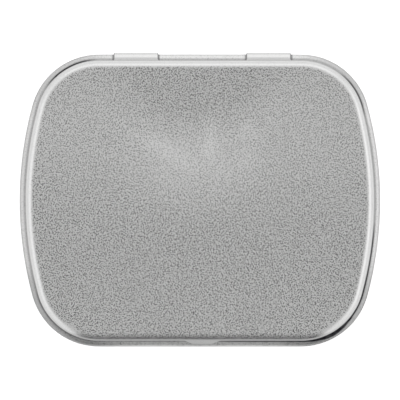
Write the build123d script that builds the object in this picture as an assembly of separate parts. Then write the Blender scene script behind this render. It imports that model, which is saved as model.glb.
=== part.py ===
from build123d import *
import os
from math import sqrt

# A plain hinged pocket tin in two drawn sheet pieces, closed.
# Millimetres, +Z up. The tin stands on z = 0, centred on the bead's outline,
# with the thumb lip at the front (-Y) and the hinge at the rear (+Y).
# The base has a round bead under an inset neck. The lid's skirt drops over the neck
# and ends in a narrow flange just above the bead. Three tabs of that flange are left
# wider: the thumb lip, and two tongues that curl round the rear bead, the hinge pin.

# Overall sizes
width = 60.0  # over the bead, side to side
depth = 48.6  # over the bead, front to rear
height = 16.0  # closed, floor to lid top
corner_radius = 11.5  # the bead's outline, seen from above
side_bow_radius = 60.3  # the two short sides bulge a little
sheet = 0.25  # thickness of the tinplate

# Base
bead_radius = 1.0
base_edge_radius = 2.5  # rounded edge under the body
neck_rise = 4.25  # from the bead's centre to the top of the rim
rim_curl_radius = 0.45  # the neck's top edge is curled inward

# Lid
lid_height = 4.6  # from the flange's underside to the top
lid_edge_radius = 1.1  # rounded edge round the lid's top
flange_width = 0.28  # from the skirt's outer face to the edge, over the bead's crest
flange_bend_radius = 0.2
fit_gap = 0.3  # from the skirt to the neck
hinge_gap = 0.05  # from the tabs to the bead

# Hinge: two tabs of the flange curled round the rear bead
tongue_width = 7.4
tongue_spacing = 22.04  # centre to centre
tongue_side_radius = 0.18
tongue_wrap = 240  # degrees round the bead, from its crest
window_gap = 0.15  # round the tongues, in the base's windows
window_corner_radius = 0.3

# Thumb lip: the flange's tab at the front
lip_root_width = 5.2
lip_tip_width = 3.4
lip_reach = 0.58  # beyond the flange's edge
lip_root_radius = 0.5
lip_corner_radius = 0.3

# The tongues and the lip stand a little off the tin's middle.
trim_offset = 0.4

# Cutting tools run past what they cut by this much.
overrun = 1.0

# What follows from the sizes above
flange_inset = bead_radius
skirt_inset = flange_inset + flange_width
neck_inset = skirt_inset + sheet + fit_gap
tab_overlap = (flange_width - flange_bend_radius) / 2
tongue_inner = bead_radius + hinge_gap
tongue_outer = tongue_inner + sheet
lid_bottom = height - lid_height
bead_height = lid_bottom - tongue_inner
bead_y = depth / 2 - bead_radius
neck_top = bead_height + neck_rise
tongue_middles = [trim_offset - tongue_spacing / 2, trim_offset + tongue_spacing / 2]


def outline(inset):
    """The tin's outline, moved inward by inset."""
    half_width = width / 2 - inset
    half_depth = depth / 2 - inset
    bow = side_bow_radius - inset
    corner = corner_radius - inset
    bow_x = half_width - bow
    corner_y = half_depth - corner
    corner_x = bow_x + sqrt((bow - corner) ** 2 - corner_y**2)
    # The side's bow and the corner's arc meet on the line through their centres.
    meet_x = bow_x + (corner_x - bow_x) * bow / (bow - corner)
    meet_y = corner_y * bow / (bow - corner)
    rear = Line((0, half_depth), (corner_x, half_depth))
    rear_corner = TangentArc(rear @ 1, (meet_x, meet_y), tangent=rear % 1)
    side = TangentArc(rear_corner @ 1, (meet_x, -meet_y), tangent=rear_corner % 1)
    front_corner = TangentArc(side @ 1, (corner_x, -half_depth), tangent=side % 1)
    front = Line(front_corner @ 1, (0, -half_depth))
    right = [rear, rear_corner, side, front_corner, front]
    left = [edge.mirror(Plane.YZ) for edge in right]
    return Wire(right + left)


def block(inset, bottom, top):
    """A solid with the tin's outline, from one height to another."""
    return Pos(0, 0, bottom) * extrude(make_face(outline(inset)), top - bottom)


def ring(inset, thickness, bottom, top):
    """An upright band of sheet that follows the outline."""
    return block(inset, bottom, top) - block(inset + thickness, bottom - overrun, top + overrun)


def roll(inset, radius, middle):
    """A round bead along the outline, its centre line inset by this much."""
    path = Pos(0, 0, middle) * outline(inset)
    section = Plane(path @ 0, x_dir=(0, 1, 0), z_dir=path % 0) * Circle(radius)
    return sweep(section, path=path)


def body():
    """The drawn pan under the bead: a flat floor, a rounded edge and the wall."""
    outer = block(skirt_inset, 0, bead_height)
    outer = fillet(outer.faces().sort_by(Axis.Z)[0].edges(), base_edge_radius)
    inner = block(skirt_inset + sheet, sheet, bead_height + overrun)
    inner = fillet(inner.faces().sort_by(Axis.Z)[0].edges(), base_edge_radius - sheet)
    return outer - inner


def neck():
    """The shelf inside the bead and the neck that stands on it."""
    shelf = ring(skirt_inset, neck_inset + sheet - skirt_inset, bead_height, bead_height + sheet)
    bent = shelf + ring(neck_inset, sheet, bead_height, neck_top - rim_curl_radius)
    return fillet(bent.faces().sort_by(Axis.Z)[0].inner_wires()[0].edges(), sheet)


def windows(rear_y):
    """The two openings in the rear wall that the tongues pass through, out to this far back."""
    half_height = tongue_outer + window_gap
    front_y = depth / 2 - neck_inset - sheet - overrun
    cut = Box(
        tongue_width + 2 * window_gap,
        rear_y - front_y,
        2 * half_height,
        align=(Align.CENTER, Align.MIN, Align.CENTER),
    )
    cut = fillet(cut.edges().filter_by(Axis.Y), window_corner_radius)
    return [Pos(x, front_y, bead_height) * cut for x in tongue_middles]


def bead():
    """The round bead, cut off flush with the wall's inner face, and with it in the windows."""
    wall_inner = skirt_inset + sheet
    rolled = roll(bead_radius, bead_radius, bead_height)
    rolled -= block(wall_inner, bead_height - bead_radius - overrun, bead_height + sheet)
    return rolled - windows(depth / 2 - wall_inner)


def base():
    """The base: body and neck with their windows, the bead and the curled rim."""
    walls = body() + neck()
    walls -= windows(depth / 2 + overrun)
    curl = roll(neck_inset + rim_curl_radius, rim_curl_radius, neck_top - rim_curl_radius)
    return walls + bead() + curl


def lid_shell():
    """The lid's flat top, its rounded edge, and the skirt with its flange."""
    flange_top = lid_bottom + sheet
    outer = block(skirt_inset, lid_bottom, height)
    outer = fillet(outer.faces().sort_by(Axis.Z)[-1].edges(), lid_edge_radius)
    outer += block(flange_inset, lid_bottom, flange_top)
    root = outer.faces().filter_by(Axis.Z).sort_by(Axis.Z)[1].inner_wires()[0]
    outer = fillet(root.edges(), flange_bend_radius)
    inner = block(skirt_inset + sheet, lid_bottom - overrun, height - sheet)
    inner = fillet(inner.faces().sort_by(Axis.Z)[-1].edges(), lid_edge_radius - sheet)
    shell = outer - inner
    mouth = shell.faces().sort_by(Axis.Z)[0].inner_wires()[0]
    return fillet(mouth.edges(), flange_bend_radius + sheet)


def tongue(middle_x):
    """One hinge tongue: a tab of the flange, curled from the bead's crest."""
    root_y = -tab_overlap
    outside = CenterArc((0, 0), tongue_outer, 90 - tongue_wrap, tongue_wrap)
    inside = CenterArc((0, 0), tongue_inner, 90 - tongue_wrap, tongue_wrap)
    section = make_face([
        outside,
        inside,
        Line(inside @ 0, outside @ 0),
        Polyline(inside @ 1, (root_y, tongue_inner), (root_y, tongue_outer), outside @ 1),
    ])
    end = Plane((middle_x - tongue_width / 2, bead_y, bead_height), (0, 1, 0), (1, 0, 0))
    strip = extrude(end * section, tongue_width)
    sides = strip.edges().filter_by(GeomType.CIRCLE).group_by(SortBy.LENGTH)[-1]
    sides += strip.edges().filter_by(Axis.Y).group_by(Axis.Z)[-1]
    return fillet(sides, tongue_side_radius)


def thumb_lip():
    """The small lip that the flange carries at the front, over the bead."""
    root = lip_root_width / 2
    tip = lip_tip_width / 2
    shoulder = root + 2 * lip_root_radius
    plan = make_face(Polyline(
        (-shoulder, tab_overlap),
        (-shoulder, 0),
        (-root, 0),
        (-tip, -lip_reach),
        (tip, -lip_reach),
        (root, 0),
        (shoulder, 0),
        (shoulder, tab_overlap),
        close=True,
    ))
    by_depth = plan.vertices().group_by(Axis.Y)
    roots = by_depth[1].sort_by(Axis.X)[1:-1]
    plan = fillet(roots, lip_root_radius)
    plan = fillet(plan.vertices().group_by(Axis.Y)[0], lip_corner_radius)
    return Pos(trim_offset, flange_inset - depth / 2, lid_bottom) * extrude(plan, sheet)


def lid():
    """The lid with its thumb lip and hinge tongues."""
    shell = lid_shell() + thumb_lip()
    return shell + [tongue(x) for x in tongue_middles]


base_part = base()
lid_part = lid()
export_step(base_part, "parts/base.step")
export_step(lid_part, "parts/lid.step")
print("hinge axis at y", round(bead_y, 4), "z", round(bead_height, 4))
print("lid's lower edge at z", round(lid_bottom, 4), "rim top at z", round(neck_top, 4))
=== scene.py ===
# %% [markdown]
# # A pocket mint tin in two pressed sheets
#
# The tin is two drawn pieces of thin tinplate: a base with a round bead below its mouth, and a
# lid whose skirt drops over the base's neck and closes on that bead. The hinge has no pin of its
# own. Two tongues of the lid's flange are curled round the bead at the rear, and a third, short
# tab at the front is the thumb lip.
#
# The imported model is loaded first. It is the frame that every piece here is built in: metres,
# the tin standing on z = 0, its thumb lip towards -Y and its hinge towards +Y.

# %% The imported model
from math import asin, atan2, cos, degrees, hypot, pi, radians, sqrt, tan

import bmesh
import bpy
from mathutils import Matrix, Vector


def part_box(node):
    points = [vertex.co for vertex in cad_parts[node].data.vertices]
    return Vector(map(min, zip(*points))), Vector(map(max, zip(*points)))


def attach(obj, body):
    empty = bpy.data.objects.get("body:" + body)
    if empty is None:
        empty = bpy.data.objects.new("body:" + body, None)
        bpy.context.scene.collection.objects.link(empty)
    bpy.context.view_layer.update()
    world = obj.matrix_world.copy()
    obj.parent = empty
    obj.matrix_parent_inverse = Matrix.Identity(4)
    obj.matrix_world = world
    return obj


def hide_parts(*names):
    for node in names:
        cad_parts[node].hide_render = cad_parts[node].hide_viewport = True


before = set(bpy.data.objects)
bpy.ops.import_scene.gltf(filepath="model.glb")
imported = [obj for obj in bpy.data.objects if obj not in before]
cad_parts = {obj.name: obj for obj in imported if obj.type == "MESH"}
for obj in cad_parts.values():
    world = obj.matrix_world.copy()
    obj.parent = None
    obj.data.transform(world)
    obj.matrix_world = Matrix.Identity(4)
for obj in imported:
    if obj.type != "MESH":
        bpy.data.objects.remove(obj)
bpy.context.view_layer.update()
mm = 0.001

# %% [markdown]
# ## The tin's sizes
#
# A press tool is drawn as one outline and one section. The outline is seen from above: two
# straight long sides, four round corners, and two short sides that bulge a little. The section is
# what a saw cut through the wall would show. Both come from the same few sizes as the packed
# model, in millimetres, and every length below is one of them.

# %% Sizes
half_width = 30.0
half_depth = 24.3
corner_radius = 11.5
side_bow_radius = 60.3
sheet = 0.25

bead_radius = 1.0
bead_height = 10.35
bead_inset = bead_radius
wall_inset = 1.28
neck_inset = 1.83
floor_edge_radius = 2.5
neck_top = 14.6
rim_curl_radius = 0.45
fold_radius = 0.1
valley_radius = 0.15

lid_top = 16.0
lid_edge_radius = 1.1
flange_inset = 1.0
flange_top = 11.65
flange_bend_radius = 0.2

tongue_half_width = 3.7
tongue_radius = 1.3
tongue_wrap = 240
window_gap = 0.15
tongue_spacing = 22.04
trim_offset = 0.4
tongue_middles = [trim_offset - tongue_spacing / 2, trim_offset + tongue_spacing / 2]
bead_y = half_depth - bead_inset

near = 0.01  # a point this close to a line counts as on it
very_near = 0.001
weld_gap = 0.002  # points closer than this become one
print("hinge axis at y, z:", bead_y, bead_height)

# %% [markdown]
# ## A pencil made of modelling tools
#
# A formed sheet could be cut out of solid blocks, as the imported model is, but its bends then have
# as many facets as the block happened to get. A tinsmith thinks of a line instead: the sheet runs
# straight, bends, and runs straight again. So each section is drawn as a chain of edges. It starts
# as a plane that is merged to one point. `pull` extrudes the selected end along a straight
# stretch, and `swing` spins it round a centre for a bend, with as many steps as the bend deserves.

# %% Pull and swing
X_AXIS = (1, 0, 0)
Z_AXIS = (0, 0, 1)


def start_point(name, x, y, z):
    """A new piece that is one point, in edit mode, with its origin at the world's."""
    bpy.ops.object.select_all(action="DESELECT")
    bpy.ops.mesh.primitive_plane_add(size=mm, location=(x * mm, y * mm, z * mm))
    piece = bpy.context.object
    piece.name = piece.data.name = name
    bpy.ops.object.transform_apply(location=True, rotation=True, scale=True)
    bpy.ops.object.mode_set(mode="EDIT")
    bpy.ops.mesh.select_mode(type="VERT")
    bpy.ops.mesh.select_all(action="SELECT")
    bpy.ops.mesh.merge(type="CENTER")
    return piece


def pull(x, y, z):
    """Extrudes what is selected by this many millimetres."""
    bpy.ops.mesh.extrude_region_move(TRANSFORM_OT_translate={"value": (x * mm, y * mm, z * mm)})


def swing(centre, angle, steps, axis):
    """Spins what is selected round a centre, in degrees, anticlockwise seen from the axis's tip."""
    middle = [c * mm for c in centre]
    bpy.ops.mesh.spin(steps=steps, angle=-radians(angle), center=middle, axis=axis)


def select(piece, kind, test):
    """Selects the vertices, edges or faces whose corners all pass the test, in millimetres."""
    bpy.ops.mesh.select_mode(type=kind)
    bpy.ops.mesh.select_all(action="DESELECT")
    cage = bmesh.from_edit_mesh(piece.data)
    chosen = {"VERT": cage.verts, "EDGE": cage.edges, "FACE": cage.faces}[kind]
    count = 0
    for element in chosen:
        points = [element.co] if kind == "VERT" else [v.co for v in element.verts]
        if all(test(*(p / mm)) for p in points):
            element.select = True
            count += 1
    cage.select_flush(True)
    bmesh.update_edit_mesh(piece.data)
    return count


# %% [markdown]
# ## Once round the tin
#
# The drawn section stands at the rear, at the left end of the straight stretch. It is taken round
# the tin the way a bead roller would do it: along the rear, round a corner, along the bowed side,
# and so on until it meets its own start. A parallel curve of an arc has the same centre, so all
# of the section can be spun together. The straight stretches stop wherever something is cut out
# of the sheet or grows from it later, and wherever painted shade is noted on it.

# %% Round the tin
corner_y = half_depth - corner_radius
bow_x = half_width - side_bow_radius
corner_x = bow_x + sqrt((side_bow_radius - corner_radius) ** 2 - corner_y**2)
bow_angle = degrees(asin(corner_y / (side_bow_radius - corner_radius)))
corner_angle = 90 - bow_angle
corner_steps = 22
side_steps = 18


def sweep(rear_stops, front_stops):
    """Takes the selected section once round the tin and welds its end to its start."""
    for side, stops in ((1, rear_stops), (-1, front_stops)):
        places = [-side * corner_x, *stops, side * corner_x]
        for here, there in zip(places, places[1:]):
            pull(there - here, 0, 0)
        swing((side * corner_x, side * corner_y, 0), -corner_angle, corner_steps, Z_AXIS)
        swing((side * bow_x, 0, 0), -2 * bow_angle, side_steps, Z_AXIS)
        swing((side * corner_x, -side * corner_y, 0), -corner_angle, corner_steps, Z_AXIS)
    bpy.ops.mesh.select_all(action="SELECT")
    bpy.ops.mesh.remove_doubles(threshold=weld_gap * mm)


print("corner centre, mm:", round(corner_x, 3), round(corner_y, 3))
print("a corner turns, degrees:", round(corner_angle, 1))

# %% [markdown]
# ## The lid's section
#
# Seen in section the lid is one continuous bend line: the flat top, a rounded edge, the straight
# skirt, a tight bend, and the narrow flange that lies just above the bead. Only its outer face is
# drawn. The other face follows from the sheet's thickness later, as it does in a real press, where
# one tool sets the shape.

# %% Draw the lid's section and take it round
edge_middle_y = half_depth - wall_inset - lid_edge_radius
edge_middle_z = lid_top - lid_edge_radius
bend_middle_y = half_depth - wall_inset + flange_bend_radius
bend_middle_z = flange_top + flange_bend_radius

tongue_sides = [m + s * tongue_half_width for m in tongue_middles for s in (-1, 1)]
lip_root = 2.95
lip_tip = 1.5
lip_reach = 0.58
lip_root_radius = 1.0
lip_corner_radius = 0.9
lip_flank = atan2(lip_reach, lip_root - lip_tip)
root_run = lip_root_radius * tan(lip_flank / 2)
tip_run = lip_corner_radius * tan(lip_flank / 2)
lip_half_stops = [
    lip_tip - tip_run,
    lip_tip,
    lip_tip + tip_run * cos(lip_flank),
    (lip_tip + lip_root) / 2,
    lip_root - root_run * cos(lip_flank),
    lip_root - root_run * cos(lip_flank) / 3,
    lip_root + root_run / 3,
    lip_root + root_run,
]
lip_stops = [trim_offset + s for s in reversed(lip_half_stops)]
lip_stops += [trim_offset]
lip_stops += [trim_offset - s for s in lip_half_stops]

lid = start_point("lid_sheet", -corner_x, edge_middle_y, lid_top)
swing((0, edge_middle_y, edge_middle_z), -90, steps=12, axis=X_AXIS)
pull(0, 0, (bend_middle_z - edge_middle_z) / 2)
pull(0, 0, (bend_middle_z - edge_middle_z) / 2)
swing((0, bend_middle_y, bend_middle_z), 90, steps=6, axis=X_AXIS)
pull(0, wall_inset - flange_inset - flange_bend_radius, 0)
bpy.ops.mesh.select_all(action="SELECT")
sweep(tongue_sides, lip_stops)
print("lid, swept faces:", len(bmesh.from_edit_mesh(lid.data).faces))

# %% [markdown]
# ## The flat top
#
# The section leaves a hole the shape of the tin's outline. One face fills it. Smooth shading would
# bend the light on such a large face near its border, so a narrow band is inset: the shading
# settles inside the band, and the rest of the top is as flat to the light as it is in fact.

# %% Close the top
shading_band = 0.3

select(lid, "VERT", lambda x, y, z: z > lid_top - very_near)
bpy.ops.mesh.edge_face_add()
bpy.ops.mesh.inset(thickness=shading_band * mm)
print("lid, faces with the top:", len(bmesh.from_edit_mesh(lid.data).faces))

# %% [markdown]
# ## The hinge tongues
#
# On the blank the tongues are two tabs of the flange. The flange ends over the crest of the bead,
# and there they are curled round it by two thirds of a turn, close enough to hold and loose enough
# to turn. So the flange's edge between each tongue's sides is spun round the bead's own axis,
# which is the hinge axis.

# %% Curl the tongues
hinge_axis = (0, bead_y, bead_height)
flange_edge_y = half_depth - flange_inset

for middle in tongue_middles:
    on_root = lambda x, y, z: (
        abs(y - flange_edge_y) < near and abs(x - middle) < tongue_half_width + near
    )
    edges = select(lid, "EDGE", on_root)
    swing(hinge_axis, -tongue_wrap, steps=30, axis=X_AXIS)
    print("tongue at x", round(middle, 2), "grown from", edges, "edge")

# %% [markdown]
# ## The thumb lip
#
# The third tab is the one a thumbnail lifts: a short trapezoid with well rounded corners that flows
# out of the flange in two small hollows. The flange's edge is extruded there too, by the lip's whole
# reach, and then each of its points is moved back to the lip's outline, which is two arcs and a
# straight flank on each side.

# %% Shape the thumb lip
def lip_depth(x):
    """How far the lip reaches beyond the flange at this place along the front."""
    from_middle = abs(x - trim_offset)
    hollow = lip_root + root_run - from_middle
    shoulder = from_middle - (lip_tip - tip_run)
    if hollow <= 0:
        return 0
    if hollow <= root_run * (1 + cos(lip_flank)):
        return lip_root_radius - sqrt(lip_root_radius**2 - hollow**2)
    if shoulder >= tip_run * (1 + cos(lip_flank)):
        return (lip_root - from_middle) * tan(lip_flank)
    if shoulder > 0:
        return lip_reach - lip_corner_radius + sqrt(lip_corner_radius**2 - shoulder**2)
    return lip_reach


lip_end = lip_half_stops[-1] + near
on_front_edge = lambda x, y, z: abs(y + flange_edge_y) < near and abs(x - trim_offset) < lip_end
select(lid, "EDGE", on_front_edge)
pull(0, -lip_reach, 0)
for stop in lip_stops:
    on_tip = lambda x, y, z: (
        abs(x - stop) < very_near and y < -flange_edge_y - lip_reach + very_near
    )
    select(lid, "VERT", on_tip)
    bpy.ops.transform.translate(value=(0, (lip_reach - lip_depth(stop)) * mm, 0))
bpy.ops.mesh.select_all(action="SELECT")
bpy.ops.mesh.remove_doubles(threshold=weld_gap * mm)
half = lip_stops[:len(lip_half_stops) + 1]
print("lip, depth at the stops of one half:", [round(lip_depth(x), 3) for x in half])

# %% [markdown]
# ## From a line to a sheet
#
# Tinplate has the same thickness everywhere, so Solidify gives the drawn face its second face,
# inward, with even offset, which keeps the sheet as thick in the bends as on the flat. The
# normals are made to agree first, because Solidify follows them. Cut edges of real sheet are never
# razor sharp: the tumbling and the trimming tool break them, and that thin bright line is how the
# eye tells sheet metal from paper. A small bevel on every square edge makes it.

# %% Thickness and broken edges
square_edge = 50  # degrees: an edge sharper than this was cut, and is broken
smooth_bend = 40  # degrees: faces that meet flatter than this are one bend
edge_break = 0.05
tongue_round = 0.16


def give_thickness(piece):
    """Turns the drawn face into a sheet and leaves edit mode."""
    bpy.ops.mesh.select_all(action="SELECT")
    bpy.ops.mesh.normals_make_consistent(inside=False)
    bpy.ops.object.mode_set(mode="OBJECT")
    solid = piece.modifiers.new("sheet", "SOLIDIFY")
    solid.thickness = sheet * mm
    solid.offset = -1
    solid.use_even_offset = True
    solid.use_quality_normals = True
    bpy.ops.object.modifier_apply(modifier=solid.name)


def break_edges(piece):
    """Rounds every square edge of the sheet a little and shades the bends smooth."""
    bevel = piece.modifiers.new("broken edge", "BEVEL")
    bevel.width = edge_break * mm
    bevel.segments = 2
    bevel.limit_method = "ANGLE"
    bevel.angle_limit = radians(square_edge)
    bpy.ops.object.modifier_apply(modifier=bevel.name)
    bpy.ops.object.shade_smooth_by_angle(angle=radians(smooth_bend))
    print(piece.name, "faces:", len(piece.data.polygons))


give_thickness(lid)
bpy.ops.object.mode_set(mode="EDIT")
for side in tongue_sides:
    outer = lambda x, y, z: (
        abs(x - side) < near
        and (y > bead_y + near or z < bead_height)
        and hypot(y - bead_y, z - bead_height) > tongue_radius - near
    )
    select(lid, "EDGE", outer)
    bpy.ops.mesh.bevel(offset=tongue_round * mm, segments=4)
bpy.ops.object.mode_set(mode="OBJECT")
break_edges(lid)

# %% [markdown]
# ## The base's section
#
# The base is one bend line too. It starts at the floor's border and climbs: the rounded edge, the
# wall, the bead, the neck that the lid drops over, and a curled rim, so that no cut edge meets a
# finger. The bead is the sheet itself, rolled out and back in again, so it is hollow, and a groove
# runs round inside the tin behind it. A solid ring would be simpler, but it would fill that groove.
# The roll meets the wall in a sharp fold and the neck in a small valley. Both are arcs that touch
# what they join, so their centres lie one fold or valley radius outside it. The sweep also stops
# just beside each window and a few times along the front, because the painted shade changes there.

# %% Draw the base's section and take it round
window_half_height = tongue_radius + window_gap
sill = bead_height - window_half_height
head = bead_height + window_half_height
window_half_width = tongue_half_width + window_gap
slot_width = 0.2  # beside each window, where a shadow is painted in the slot
slot_half_width = window_half_width + slot_width
rear_offsets = (-slot_half_width, -window_half_width, window_half_width, slot_half_width)
rear_stops = [m + offset for m in tongue_middles for offset in rear_offsets]
front_stops = [12.0, 6.0, 0.0, -6.0, -12.0]

floor_border_y = half_depth - wall_inset - floor_edge_radius
fold_y = half_depth - wall_inset + fold_radius
fold_z = bead_height - sqrt((bead_radius + fold_radius) ** 2 - (bead_y - fold_y) ** 2)
fold_angle = degrees(atan2(bead_height - fold_z, bead_y - fold_y))
valley_y = half_depth - neck_inset + valley_radius
valley_z = bead_height + sqrt((bead_radius + valley_radius) ** 2 - (bead_y - valley_y) ** 2)
valley_angle = degrees(atan2(valley_z - bead_height, bead_y - valley_y))
curl_y = half_depth - neck_inset - rim_curl_radius
curl_z = neck_top - rim_curl_radius
rim_curl_turn = 290

base = start_point("base_sheet", -corner_x, floor_border_y, 0)
swing((0, floor_border_y, floor_edge_radius), 90, steps=14, axis=X_AXIS)
pull(0, 0, sill - floor_edge_radius)
pull(0, 0, fold_z - sill)
swing((0, fold_y, fold_z), fold_angle - 180, steps=7, axis=X_AXIS)
swing(hinge_axis, 360 - fold_angle - valley_angle, steps=42, axis=X_AXIS)
swing((0, valley_y, valley_z), valley_angle - 180, steps=8, axis=X_AXIS)
pull(0, 0, head - valley_z)
pull(0, 0, curl_z - head)
swing((0, curl_y, curl_z), rim_curl_turn, steps=29, axis=X_AXIS)
bpy.ops.mesh.select_all(action="SELECT")
sweep(rear_stops, front_stops)
print("fold and valley, degrees:", round(fold_angle, 1), round(valley_angle, 1))

# %% [markdown]
# ## The floor and the two windows
#
# The floor is closed like the lid's top. The tongues pass through two windows that are punched in
# the rear wall, through the wall's top and the neck's foot. The roll itself runs on across them,
# because there it is the hinge pin. The faces to punch out are found by their place: between the
# window's sides, between its sill and head, and not on the roll.

# %% Close the floor and punch the windows
select(base, "VERT", lambda x, y, z: z < very_near)
bpy.ops.mesh.edge_face_add()
bpy.ops.mesh.inset(thickness=shading_band * mm)

for middle in tongue_middles:
    punched = lambda x, y, z: (
        abs(x - middle) < window_half_width + near
        and y > 0
        and sill - very_near < z < head + very_near
        and hypot(y - bead_y, z - bead_height) > bead_radius - very_near
    )
    on_roll = lambda x, y, z: hypot(y - bead_y, z - bead_height) < bead_radius + very_near
    count = select(base, "FACE", punched)
    cage = bmesh.from_edit_mesh(base.data)
    for face in cage.faces:
        if face.select and all(on_roll(*(v.co / mm)) for v in face.verts):
            face.select = False
            count -= 1
    cage.select_flush(False)
    bmesh.update_edit_mesh(base.data)
    bpy.ops.mesh.delete(type="FACE")
    print("window at x", round(middle, 2), "faces punched out:", count)

give_thickness(base)
break_edges(base)

# %% [markdown]
# ## Where the press ironed the grain, and where shade is painted
#
# The sheet comes to the press with an even matt grain. Where the press draws it over its tools,
# at the bends, the skirt, the bead and the tabs, the grain is ironed nearly smooth, while the flat
# top and floor keep all of it. Shade is then painted into the colour: a dark line in the seam,
# where the lid's flange meets the bead, worst at the corners, darker stretches of the bead with the
# lip's shadow on it, shadows down the tongues' sides and beside the windows, and a dark reflection
# low on the front edge. At the front right corner a painted shadow also fills a pocket on the bead.
#
# A picture painted on the tin could say both, but two numbers kept at each point of the mesh are
# simpler and exact: `grain`, from 0 smooth to 1 full, and the painted shade, the share of light it
# swallows.
# Both follow two measures of a place: how far it lies inside the outline, and how much the outline
# faces the front there.

# %% Places on the outline
def soft_step(low, high, value):
    """Goes smoothly from 0 at low to 1 at high."""
    t = min(max((value - low) / (high - low), 0.0), 1.0)
    return t * t * (3 - 2 * t)


def between(first, second, share):
    """The number that lies this share of the way from the first to the second."""
    return first + (second - first) * share


def nearest_centre(x, y):
    """The centre and radius of the arc of the outline next to a point, folded into one corner."""
    if y * (corner_x - bow_x) < corner_y * (x - bow_x):
        return bow_x, 0.0, side_bow_radius
    return corner_x, corner_y, corner_radius


def inset_at(x, y):
    """How far a point lies inside the tin's outline, in millimetres."""
    x, y = abs(x), abs(y)
    if x <= corner_x:
        return half_depth - y
    middle_x, middle_y, radius = nearest_centre(x, y)
    return radius - hypot(x - middle_x, y - middle_y)


def frontness(x, y):
    """How far the outline faces the front here: 1 at the front, 0 at the sides, -1 at the rear."""
    if abs(x) <= corner_x:
        return -1.0 if y > 0 else 1.0
    middle_x, middle_y, radius = nearest_centre(abs(x), abs(y))
    facing = (abs(y) - middle_y) / hypot(abs(x) - middle_x, abs(y) - middle_y)
    return -facing if y > 0 else facing


print("a corner point lies inside the outline, mm:", round(inset_at(25, -20), 2))
print("and faces the front by", round(frontness(25, -20), 2))

# %% Note the grain at each point
front_edge_span = (0.89, 0.985)  # frontness where the lid's front edge begins and is whole
edge_bend_inset = 0.6  # from the skirt, where the lid's edge starts to be flat
edge_grain = 0.15
skirt_grain = 0.3
flange_grain = 0.1
neck_grain = 0.2
wall_grain = 0.3
bead_grain = 0.3
bead_front_grain = 0.7
bead_front_span = (0.5, 0.97)


def note(piece, name, value_at):
    """Keeps a number at each point of the piece, under a name that its material reads."""
    layer = piece.data.attributes.new(name, "FLOAT", "POINT")
    values = [value_at(*(v.co / mm)) for v in piece.data.vertices]
    layer.data.foreach_set("value", values)
    print(piece.name, name, "from", round(min(values), 2), "to", round(max(values), 2))


def lid_grain(x, y, z):
    """Full grain on the flat top and the ceiling, least below, and more again at the front."""
    edge = inset_at(x, y) - wall_inset
    if z > lid_top - lid_edge_radius:
        ironed = between(edge_grain, 1.0, soft_step(edge_bend_inset, lid_edge_radius, edge))
        return max(ironed, soft_step(*front_edge_span, frontness(x, y)))
    return skirt_grain if z > flange_top + sheet else flange_grain


def base_grain(x, y, z):
    """Full grain on the floor, some on the walls and the bead, and more on the bead in front."""
    if inset_at(x, y) > wall_inset + floor_edge_radius + shading_band / 2:
        return 1.0
    if z > bead_height + bead_radius:
        return neck_grain
    if z < bead_height - bead_radius:
        return wall_grain
    return between(bead_grain, bead_front_grain, soft_step(*bead_front_span, frontness(x, y)))


note(lid, "grain", lid_grain)
note(base, "grain", base_grain)

# %% Note the painted shade at each point
seam_shade_spots = [  # places x, y where the painted shade in the seam is darker, how far each reaches, and how dark it is
    (-22.0, 21.9, 6.5, 0.985),
    (26.2, 17.8, 6.0, 0.85),
    (-23.6, -20.9, 14.0, 0.7),
    (23.2, -21.3, 7.0, 0.98),
    (17.0, -23.4, 6.0, 0.95),
    (26.6, -16.0, 8.0, 0.985),
    (28.2, -10.0, 9.0, 0.9),
    (10.0, -23.4, 9.0, 0.85),
]
bead_shade_spots = [  # the same for painted shade on the bead beside it: the four corners, the two sides, the lip's shadow
    (-24.0, 20.0, 12.0, 0.26),
    (24.0, 20.0, 10.0, 0.25),
    (-24.0, -20.0, 16.0, 0.45),
    (24.0, -20.0, 16.0, 0.42),
    (30.0, 0.0, 26.0, 0.14),
    (-30.0, 0.0, 26.0, 0.2),
    (0.4, -24.0, 5.0, 0.2),
]
seam_span = (0.68, 0.82)  # inset where the seam's painted shade line begins and is whole
# painted shade in the seam between the lid's flange and the bead, all along it
rear_seam_shade = 0.15
side_seam_shade = 0.15  # more than at the rear
front_seam_shade = 0.2  # more than at the sides
side_span = (-0.9, -0.4)  # frontness from the rear to the sides
front_span = (0.6, 0.97)  # and from the sides to the front
# painted shadow in the slots beside each window
slot_shade = 0.6
pocket_turn = -60  # degrees round the front right corner, where the painted shadow in the pocket is widest
pocket_inset = 0.3  # its outer border there
pocket_taper = 0.017  # how much further in it lies for each degree away
pocket_blur = (-0.04, 0.06)  # the border is as soft as this, outward and inward
pocket_shade = 0.985
pocket_end = (0.85, 0.75)  # it fades out where its border comes this far in
# painted shadow down the tongues' sides
tongue_side_shade = 0.75
# painted dark reflection low on the lid's front edge and on its flange
front_edge_dark_reflection = 0.7
front_flange_dark_reflection = 0.15
unshaded_inset = 0.55  # from the skirt, where the front edge has no painted dark reflection
dark_inset = 0.2  # and where it is darkest
front_edge_depth = 1.0  # how far down it goes on the skirt


def strongest(spots, x, y):
    """The darkest of the spots at this place, each fading softly to nothing at its reach."""
    darkest = 0.0
    for spot_x, spot_y, reach, dark in spots:
        away = hypot(x - spot_x, y - spot_y)
        darkest = max(darkest, dark * soft_step(reach, reach / 3, away))
    return darkest


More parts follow.
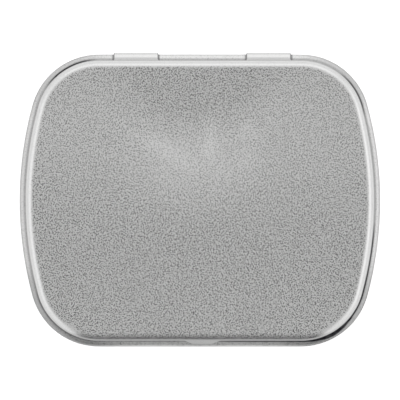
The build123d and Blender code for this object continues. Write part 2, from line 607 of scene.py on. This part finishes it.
def base_painted_shade(x, y, z):
    """Painted shade: dark in the seam on the bead, darker beside it at places, and a painted shadow in
    a pocket at one corner.
    """
    inset = inset_at(x, y)
    if z < bead_height or inset > neck_inset:
        return 0.0
    line = soft_step(*seam_span, inset)
    facing = frontness(x, y)
    usual = rear_seam_shade + side_seam_shade * soft_step(*side_span, facing)
    usual += front_seam_shade * soft_step(*front_span, facing)
    seam = max(strongest(seam_shade_spots, x, y), usual)
    bead_shade = strongest(bead_shade_spots, x, y)
    # painted shadow in the slots beside the windows
    if y > corner_y:
        beside = min(abs(abs(x - middle) - window_half_width) for middle in tongue_middles)
        bead_shade = max(bead_shade, slot_shade * soft_step(slot_width, 0.0, beside))
    if x < corner_x or y > -corner_y:
        return max(seam * line, bead_shade)
    # a painted shadow in a pocket beside the flange at the front right corner
    turn = abs(degrees(atan2(y + corner_y, x - corner_x)) - pocket_turn)
    border = pocket_inset + pocket_taper * turn
    within = soft_step(*pocket_blur, inset - border)
    pocket = pocket_shade * within * soft_step(*pocket_end, border)
    return max(seam * line, pocket, bead_shade)


def lid_painted_shade(x, y, z):
    """Painted dark reflection low on the front edge, and painted shadow down the tongues' sides."""
    if y > bead_y + edge_break:
        beside = min(abs(x - side) for side in tongue_sides)
        return tongue_side_shade * soft_step(tongue_round, edge_break, beside)
    edge = inset_at(x, y) - wall_inset
    front = soft_step(*front_edge_span, frontness(x, y))
    if z < flange_top + sheet:
        return front_flange_dark_reflection * front
    if z < lid_top - lid_edge_radius - front_edge_depth or edge > lid_edge_radius:
        return 0.0
    return front_edge_dark_reflection * front * soft_step(unshaded_inset, dark_inset, edge)


note(lid, "painted_shade", lid_painted_shade)
note(base, "painted_shade", base_painted_shade)

# %% [markdown]
# ## Matt tinplate
#
# The grain is specks about a tenth of a millimetre across, darker than the metal round them,
# with no direction. They are solid noise, read at each point of the tin in its own space, so they
# don't stretch at the bends. A flat cut through solid noise shows it softer than it is, so a second
# noise, drawn flat, is added where all of the grain is left, and makes it finer there. Noise is
# built on a square grid, which would show as faint lines along the tin's sides, so the space of
# both is turned first. Together they darken the specks, dull them and sink them by two thousandths
# of a millimetre. A large and faint noise is the haze of handling, and another makes the painted
# shade patchy. A painted reflection lightens the lid's top in soft patches with fewer specks, which
# are oval gradients: large ones, and narrow streaks. A patch of less than nothing takes it away there.

# %% Helpers for nodes
def add_node(tree, kind, **settings):
    """A node of this kind, with its sockets or properties set by name."""
    node = tree.nodes.new(kind)
    for name, value in settings.items():
        if name.replace("_", " ") in node.inputs:
            node.inputs[name.replace("_", " ")].default_value = value
        else:
            setattr(node, name, value)
    return node


def two_of(tree, operation, first, second):
    """A Math node on two values, each a socket or a number."""
    node = add_node(tree, "ShaderNodeMath", operation=operation)
    for slot, value in zip(node.inputs, (first, second)):
        if isinstance(value, (int, float)):
            slot.default_value = value
        else:
            tree.links.new(value, slot)
    return node.outputs["Value"]


def ramp(tree, value, low, high, bottom=0.0, top=1.0, kind="SMOOTHSTEP"):
    """Maps low..high to bottom..top, softly unless the kind says otherwise."""
    node = add_node(tree, "ShaderNodeMapRange", interpolation_type=kind, To_Min=bottom, To_Max=top)
    node.inputs["From Min"].default_value = low
    node.inputs["From Max"].default_value = high
    tree.links.new(value, node.inputs["Value"])
    return node.outputs["Result"]


def mixed(tree, share, first, second, blend="MIX"):
    """A colour mix of two colours, each a socket or written out."""
    node = add_node(tree, "ShaderNodeMix", data_type="RGBA", blend_type=blend)
    for name, value in (("Factor", share), ("A", first), ("B", second)):
        if isinstance(value, (int, float, tuple)):
            node.inputs[name].default_value = value
        else:
            tree.links.new(value, node.inputs[name])
    return node.outputs["Result"]


def multiplied(tree, first, second):
    """The product of two values, each a socket or a number."""
    return two_of(tree, "MULTIPLY", first, second)


def turned(tree, place, angles):
    """The same space, turned by these degrees about X, Y and Z."""
    node = add_node(tree, "ShaderNodeMapping")
    node.inputs["Rotation"].default_value = [radians(angle) for angle in angles]
    tree.links.new(place, node.inputs["Vector"])
    return node.outputs["Vector"]


def noise(tree, place, **settings):
    """A noise read at this place, from 0 to 1."""
    node = add_node(tree, "ShaderNodeTexNoise", **settings)
    tree.links.new(place, node.inputs["Vector"])
    return node.outputs["Fac"]


def oval(tree, place, middle, reach, turn, strength):
    """A soft oval on the lid's top: its middle and half-lengths in mm, its turn in degrees."""
    spot = add_node(tree, "ShaderNodeMapping", vector_type="TEXTURE")
    spot.inputs["Location"].default_value = (middle[0] * mm, middle[1] * mm, lid_top * mm)
    spot.inputs["Rotation"].default_value = (0, 0, radians(turn))
    spot.inputs["Scale"].default_value = (reach[0] * mm, reach[1] * mm, sheet * mm)
    tree.links.new(place, spot.inputs["Vector"])
    ball = add_node(tree, "ShaderNodeTexGradient", gradient_type="SPHERICAL")
    tree.links.new(spot.outputs["Vector"], ball.inputs["Vector"])
    return ramp(tree, ball.outputs["Fac"], 0.0, 1.0, 0.0, strength)


# %% A tinplate material
painted_reflection_patches = [  # painted reflection on the lid's top: middle, half-lengths, turn, strength
    ((0.0, 12.5), (90.0, 21.0), 0, 0.45),
    ((-1.0, 20.5), (17.0, 12.0), 0, -0.75),
    ((-0.8, 5.2), (17.0, 10.0), 0, 0.38),
    ((-6.2, 8.6), (9.0, 2.8), -30, 0.35),
    ((1.7, 10.5), (2.2, 7.0), 0, 0.35),
    ((7.8, 11.7), (3.0, 3.0), 0, 0.25),
    ((7.8, 6.7), (3.0, 3.0), 0, 0.2),
]
ironed_metal = (0.88, 0.88, 0.875, 1)
grained_metal = (0.75, 0.75, 0.745, 1)
# the colour of the painted reflection
reflection_colour = (0.93, 0.93, 0.925, 1)
speck_colour = (0.1, 0.1, 0.1, 1)
# the colour of the painted shade
painted_shade_colour = (0.012, 0.011, 0.016, 1)
metal_roughness = 0.3
speck_roughness = 0.5
speck_depth = 0.002
grain_tilt = (37, 23, 31)  # degrees, none of them square to the tin
flat_turn = (0, 0, 31)
flat_strength = 0.95
flat_grain_span = (0.7, 1.0)  # the flat noise joins in where nearly all of the grain is left
speck_span = (0.505, 0.255)  # noise where a speck begins and is whole
specks_in_reflection = 0.5  # the share of a speck left under the painted reflection
veil_span = (0.98, 1.01)
painted_shade_patches = (0.3, 0.6, 0.93, 1.0)  # thin painted shade and thick: where in the noise, and how much


def tinplate(name, patches):
    """Matt tinplate: metal with dark, dull, slightly sunken specks, a faint haze, painted shade, and
    any patches of painted reflection.
    """
    material = bpy.data.materials.new(name)
    material.use_nodes = True
    tree = material.node_tree
    tree.nodes.clear()
    place = add_node(tree, "ShaderNodeTexCoord").outputs["Object"]
    kept = add_node(tree, "ShaderNodeAttribute", attribute_name="grain").outputs["Fac"]
    noted_painted_shade = add_node(tree, "ShaderNodeAttribute", attribute_name="painted_shade").outputs["Fac"]

    # painted reflection on the lid's top: how much of it lies at each point
    reflection_share = two_of(tree, "ADD", 0.0, 0.0)
    for patch in patches:
        reflection_share = two_of(tree, "ADD", reflection_share, oval(tree, place, *patch))

    solid = noise(tree, turned(tree, place, grain_tilt), Scale=6200.0, Detail=0.5, Roughness=0.6)
    flat_place = turned(tree, place, flat_turn)
    flat = noise(tree, flat_place, noise_dimensions="2D", Scale=5400.0, Detail=0.0)
    fine = multiplied(tree, ramp(tree, flat, 0.0, 1.0, -0.5, 0.5, "LINEAR"), flat_strength)
    fine = multiplied(tree, fine, ramp(tree, kept, *flat_grain_span))
    specks = ramp(tree, two_of(tree, "ADD", solid, fine), *speck_span)
    specks = multiplied(tree, specks, kept)
    speck_share_left = ramp(tree, reflection_share, 0.0, 1.0, 1.0, specks_in_reflection, "LINEAR")
    specks = multiplied(tree, specks, speck_share_left)

    haze = noise(tree, place, Scale=90.0, Detail=3.0, Roughness=0.5)
    veil = ramp(tree, haze, 0.0, 1.0, *veil_span, "LINEAR")
    patchy = noise(tree, place, Scale=900.0, Detail=2.0, Roughness=0.5)
    # the painted shade, made patchy by noise
    painted_shade = multiplied(tree, noted_painted_shade, ramp(tree, patchy, *painted_shade_patches))

    matt = mixed(tree, kept, ironed_metal, grained_metal)
    # the painted reflection lightens the metal
    with_reflection = mixed(tree, reflection_share, matt, reflection_colour)
    speckled = mixed(tree, specks, with_reflection, speck_colour)
    hazed = mixed(tree, 1.0, speckled, veil, "MULTIPLY")
    # the painted shade darkens the colour
    with_painted_shade = mixed(tree, painted_shade, hazed, painted_shade_colour)

    metal = add_node(tree, "ShaderNodeBsdfPrincipled", Metallic=1.0)
    tree.links.new(with_painted_shade, metal.inputs["Base Color"])
    duller = ramp(tree, specks, 0.0, 1.0, metal_roughness, speck_roughness, "LINEAR")
    tree.links.new(duller, metal.inputs["Roughness"])
    sunk = add_node(tree, "ShaderNodeBump", Strength=1.0, Distance=speck_depth * mm)
    sunk.invert = True
    tree.links.new(specks, sunk.inputs["Height"])
    tree.links.new(sunk.outputs["Normal"], metal.inputs["Normal"])
    out = add_node(tree, "ShaderNodeOutputMaterial")
    tree.links.new(metal.outputs["BSDF"], out.inputs["Surface"])
    return material


lid_metal = tinplate("matt_tinplate_lid", painted_reflection_patches)
base_metal = tinplate("matt_tinplate_base", [])
lid.data.materials.append(lid_metal)
base.data.materials.append(base_metal)
print("materials:", lid_metal.name, base_metal.name)

# %% [markdown]
# ## Each piece on its body
#
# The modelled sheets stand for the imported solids, which stay behind for collision. Each rides on
# its own body, so the lid turns on the hinge with everything that grows from it.

# %% Ride and replace
for piece, body, slot in ((base, "base", "tinplate_base"), (lid, "lid", "tinplate_lid")):
    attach(piece, body)
    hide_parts(body)
    low, high = (Vector(c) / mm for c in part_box(body))
    print(body, "solid, mm:", [round(c, 2) for c in (*low, *high)])

# %% [markdown]
# ## A white table and soft light
#
# The tin is photographed from straight above on white, in an even, soft studio light that is
# brightest low down, all round, and a little weaker overhead. The photographer stands at the
# front, so less light comes from there. That is what the flat top and the rounded edges mirror.
# The table is a plain pale plane, and the camera and the metal see it as white.

# %% The table
table_size = 6.0
table_gap = 0.02  # so that it and the tin's floor are never in one plane
table_paleness = 0.9  # to the soft light
table_in_metal = 1.1
table_to_camera = 2.0

bpy.ops.object.select_all(action="DESELECT")
bpy.ops.mesh.primitive_plane_add(size=table_size, location=(0, 0, -table_gap * mm))
table = bpy.context.object
table.name = "table"
paper = bpy.data.materials.new("white_table")
paper.use_nodes = True
sheen = paper.node_tree.nodes["Principled BSDF"]
sheen.inputs["Roughness"].default_value = 0.9
sheen.inputs["Specular IOR Level"].default_value = 0.0
rays = add_node(paper.node_tree, "ShaderNodeLightPath")
in_metal = rays.outputs["Is Glossy Ray"]
seen_in_metal = ramp(paper.node_tree, in_metal, 0.0, 1.0, table_paleness, table_in_metal)
seen_by_camera = multiplied(paper.node_tree, rays.outputs["Is Camera Ray"], table_to_camera)
white = two_of(paper.node_tree, "MAXIMUM", seen_in_metal, seen_by_camera)
paper.node_tree.links.new(white, sheen.inputs["Base Color"])
table.data.materials.append(paper)
print("table, metres across:", round(table.dimensions.x, 2))

# %% The studio
horizon_light = 0.9
overhead_light = 0.62
overhead_span = (0.5, 1.0)  # the Z of the direction, where the light falls from the one to the other
front_light = 0.385
photographer_span = (-1.0, -0.15)  # its Y, from the front, where the photographer stands, to the sides
beside_span = (0.29, 0.48)  # its X, past which the photographer shades nothing

world = bpy.data.worlds.new("studio")
bpy.context.scene.world = world
world.use_nodes = True
sky = world.node_tree
sky.nodes.clear()
direction = add_node(sky, "ShaderNodeTexCoord")
axes = add_node(sky, "ShaderNodeSeparateXYZ")
sky.links.new(direction.outputs["Generated"], axes.inputs["Vector"])
overhead = ramp(sky, axes.outputs["Z"], *overhead_span, horizon_light, overhead_light)
behind = ramp(sky, axes.outputs["Y"], *photographer_span, front_light, 1.0)
beside = ramp(sky, two_of(sky, "ABSOLUTE", axes.outputs["X"], 0.0), *beside_span)
studio = multiplied(sky, overhead, two_of(sky, "MAXIMUM", behind, beside))
sky_rays = add_node(sky, "ShaderNodeLightPath")
seen = two_of(sky, "MAXIMUM", studio, sky_rays.outputs["Is Camera Ray"])
background = add_node(sky, "ShaderNodeBackground", Color=(1, 1, 1, 1))
sky.links.new(seen, background.inputs["Strength"])
sky_out = add_node(sky, "ShaderNodeOutputWorld")
sky.links.new(background.outputs["Background"], sky_out.inputs["Surface"])
print("studio:", world.name, "with", len(sky.nodes), "nodes")

# %% Lamps
softbox_away = 0.75
softbox_up = 0.3
softbox_height = 0.5


def softbox(name, place, width, radiance):
    """A soft rectangular lamp, in metres, that looks at the tin."""
    lamp = bpy.data.lights.new(name, "AREA")
    lamp.shape = "RECTANGLE"
    lamp.size = width
    lamp.size_y = softbox_height
    lamp.energy = radiance * pi * width * softbox_height
    holder = bpy.data.objects.new(name, lamp)
    bpy.context.scene.collection.objects.link(holder)
    holder.location = place
    holder.rotation_euler = (-Vector(place)).to_track_quat("-Z", "Y").to_euler()
    holder.visible_camera = False


softbox("softbox_left", (-softbox_away, 0, softbox_up), width=0.8, radiance=0.13)
softbox("softbox_right", (softbox_away, 0, softbox_up), width=0.8, radiance=0.2)
softbox("softbox_rear", (0, softbox_away, softbox_up), width=1.0, radiance=0.15)

# %% [markdown]
# ## The camera
#
# Seen in the photograph the lid's edge stands equally far inside the bead on all sides, so the
# picture was taken from straight above and from far away for its size. A very long lens from
# nearly two metres does the same.

# %% Camera
picture_pixels = 400
pixel_size = 0.1663
tin_centre_in_picture = (199.92, 200.49)
lens = 1000.0
sensor = 36.0
view_end = 10.0  # metres

camera = bpy.data.objects.new("camera", bpy.data.cameras.new("camera"))
bpy.context.scene.collection.objects.link(camera)
camera.data.lens = lens
camera.data.sensor_width = sensor
distance = picture_pixels * pixel_size * lens / sensor
right = (picture_pixels / 2 - tin_centre_in_picture[0]) * pixel_size
up = (tin_centre_in_picture[1] - picture_pixels / 2) * pixel_size
camera.location = (right * mm, up * mm, (bead_height + distance) * mm)
camera.data.clip_end = view_end
bpy.context.scene.camera = camera
bpy.context.scene.view_settings.view_transform = "Standard"
print("camera, mm:", [round(c / mm, 2) for c in camera.location])
